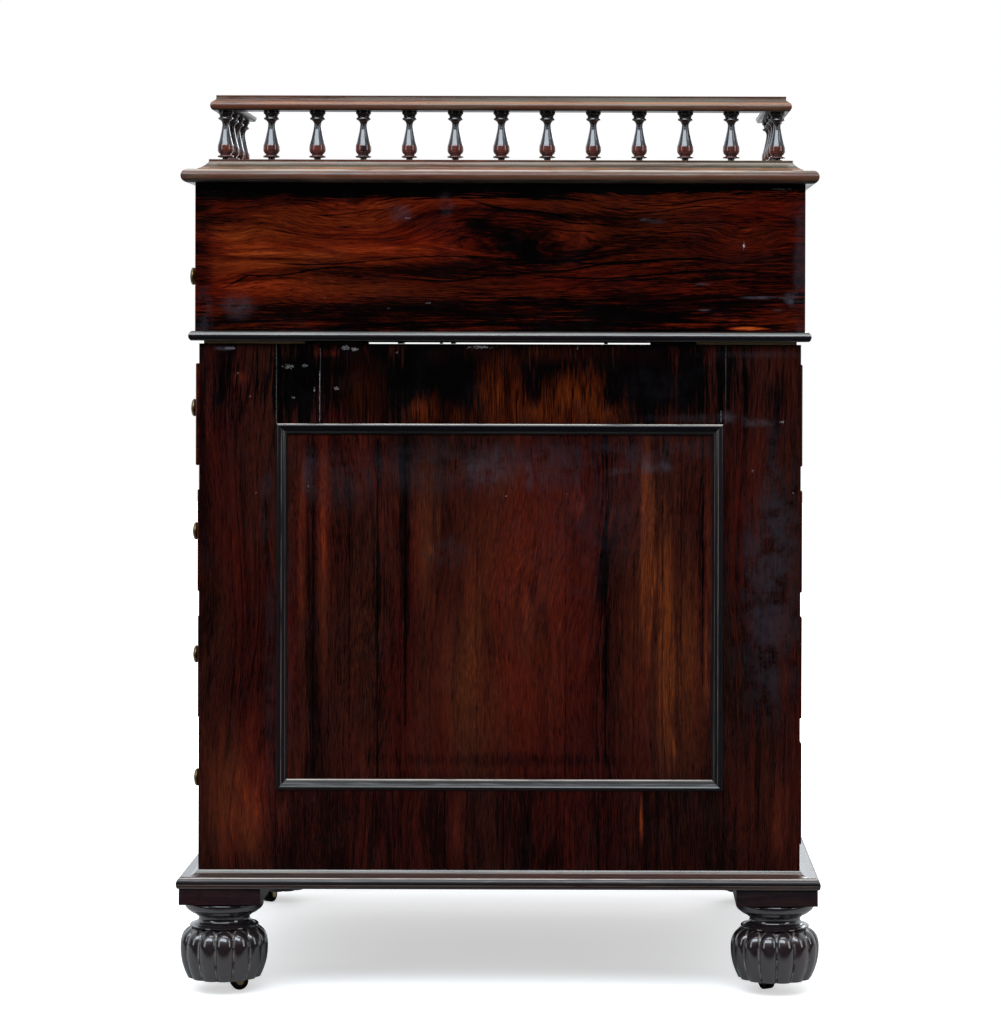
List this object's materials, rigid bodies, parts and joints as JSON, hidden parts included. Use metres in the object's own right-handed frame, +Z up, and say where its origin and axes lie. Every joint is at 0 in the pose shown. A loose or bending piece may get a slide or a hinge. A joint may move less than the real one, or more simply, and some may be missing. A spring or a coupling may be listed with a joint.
{
  "type": "davenport desk",
  "caption": "Small rosewood writing desk: sliding slope-lidded box with spindle gallery on a pedestal of side drawers, lobed feet and casters.",
  "frame": {"origin": "on the floor, under the middle of the desk", "axes": "+Z up; +Y from the back towards the sitter; -X towards the side with the real drawers, the sitter's right"},
  "size_m": [0.624, 0.5725, 0.8728],
  "materials": {
    "rosewood": "French polished",
    "dark_rosewood": "French polished",
    "lining_wood": "waxed, plain",
    "brass": "lacquered, worn",
    "leather": "tooled hide"
  },
  "bodies": {
    "base": {"plinth": "rosewood", "foot_blocks": "dark_rosewood", "bun_feet": "dark_rosewood", "caster_plates": "brass", "back_frame": "rosewood", "back_panel": "rosewood", "back_panel_bead": "dark_rosewood", "front_frame": "rosewood", "front_panel": "rosewood", "drawer_rails": "rosewood", "dummy_side": "rosewood", "dummy_fronts": "rosewood", "drawer_runners": "lining_wood", "base_top": "lining_wood"},
    "desk_box": {"box_back": "rosewood", "box_sides": "rosewood", "box_front": "rosewood", "box_lock": "brass", "box_bottom": "lining_wood", "box_base_bead": "rosewood", "slide_battens": "lining_wood", "box_top": "rosewood", "box_hinges": "brass", "gallery_balusters": "dark_rosewood", "gallery_rail": "rosewood", "pigeonhole_case": "lining_wood", "pen_drawer_housing": "lining_wood", "dummy_small_fronts": "rosewood"},
    "slope_lid": {"lid_edge": "rosewood", "lid_panel": "rosewood", "lid_leather": "leather", "lid_book_rest": "rosewood", "lid_brasses": "brass"},
    "pen_drawer": {"pen_drawer_front": "rosewood", "pen_drawer_tray": "lining_wood", "pen_drawer_knob": "brass"},
    "small_drawer_1": {"small_drawer_1_front": "rosewood", "small_drawer_1_case": "lining_wood"},
    "small_drawer_2": {"small_drawer_2_front": "rosewood", "small_drawer_2_case": "lining_wood"},
    "drawer_1": {"drawer_1_front": "rosewood", "drawer_1_case": "lining_wood", "drawer_1_brasses": "brass"},
    "drawer_2": {"drawer_2_front": "rosewood", "drawer_2_case": "lining_wood", "drawer_2_brasses": "brass"},
    "drawer_3": {"drawer_3_front": "rosewood", "drawer_3_case": "lining_wood", "drawer_3_brasses": "brass"},
    "drawer_4": {"drawer_4_front": "rosewood", "drawer_4_case": "lining_wood", "drawer_4_brasses": "brass"},
    "caster_back_left": {"caster_horn_back_left": "brass"},
    "wheel_back_left": {"caster_wheel_back_left": "brass"},
    "caster_back_right": {"caster_horn_back_right": "brass"},
    "wheel_back_right": {"caster_wheel_back_right": "brass"},
    "caster_front_left": {"caster_horn_front_left": "brass"},
    "wheel_front_left": {"caster_wheel_front_left": "brass"},
    "caster_front_right": {"caster_horn_front_right": "brass"},
    "wheel_front_right": {"caster_wheel_front_right": "brass"}
  },
  "joints": [
    {"name": "box_slide", "type": "slide", "parent": "base", "child": "desk_box", "axis": [0, 1, 0], "range_m": [0, 0.2]},
    {"name": "lid_hinge", "type": "hinge", "parent": "desk_box", "child": "slope_lid", "pos_m": [0, -0.09, 0.8115], "axis": [1, 0, 0], "range_deg": [0, 108]},
    {"name": "pen_drawer_slide", "type": "slide", "parent": "desk_box", "child": "pen_drawer", "axis": [-1, 0, 0], "range_m": [0, 0.2]},
    {"name": "small_drawer_1_slide", "type": "slide", "parent": "desk_box", "child": "small_drawer_1", "axis": [0, 1, 0], "range_m": [0, 0.11]},
    {"name": "small_drawer_2_slide", "type": "slide", "parent": "desk_box", "child": "small_drawer_2", "axis": [0, 1, 0], "range_m": [0, 0.11]},
    {"name": "drawer_1_slide", "type": "slide", "parent": "base", "child": "drawer_1", "axis": [-1, 0, 0], "range_m": [-0.0034, 0.3766]},
    {"name": "drawer_2_slide", "type": "slide", "parent": "base", "child": "drawer_2", "axis": [-1, 0, 0], "range_m": [-0.0015, 0.3785]},
    {"name": "drawer_3_slide", "type": "slide", "parent": "base", "child": "drawer_3", "axis": [-1, 0, 0], "range_m": [-0.001, 0.379]},
    {"name": "drawer_4_slide", "type": "slide", "parent": "base", "child": "drawer_4", "axis": [-1, 0, 0], "range_m": [0, 0.38]},
    {"name": "caster_back_left_swivel", "type": "hinge", "parent": "base", "child": "caster_back_left", "pos_m": [-0.26875, -0.24305, 0.0211], "axis": [0, 0, 1], "continuous": true},
    {"name": "wheel_back_left_roll", "type": "hinge", "parent": "caster_back_left", "child": "wheel_back_left", "pos_m": [-0.25487, -0.23854, 0.0085], "axis": [-0.309, 0.9511, 0], "continuous": true},
    {"name": "caster_back_right_swivel", "type": "hinge", "parent": "base", "child": "caster_back_right", "pos_m": [0.26875, -0.24305, 0.0211], "axis": [0, 0, 1], "continuous": true},
    {"name": "wheel_back_right_roll", "type": "hinge", "parent": "caster_back_right", "child": "wheel_back_right", "pos_m": [0.26145, -0.23041, 0.0085], "axis": [-0.866, -0.5, 0], "continuous": true},
    {"name": "caster_front_left_swivel", "type": "hinge", "parent": "base", "child": "caster_front_left", "pos_m": [-0.26875, 0.24305, 0.0211], "axis": [0, 0, 1], "continuous": true},
    {"name": "wheel_front_left_roll", "type": "hinge", "parent": "caster_front_left", "child": "wheel_front_left", "pos_m": [-0.27605, 0.23041, 0.0085], "axis": [0.866, -0.5, 0], "continuous": true},
    {"name": "caster_front_right_swivel", "type": "hinge", "parent": "base", "child": "caster_front_right", "pos_m": [0.26875, 0.24305, 0.0211], "axis": [0, 0, 1], "continuous": true},
    {"name": "wheel_front_right_roll", "type": "hinge", "parent": "caster_front_right", "child": "wheel_front_right", "pos_m": [0.27253, 0.25715, 0.0085], "axis": [-0.9659, 0.2588, 0], "continuous": true}
  ]
}
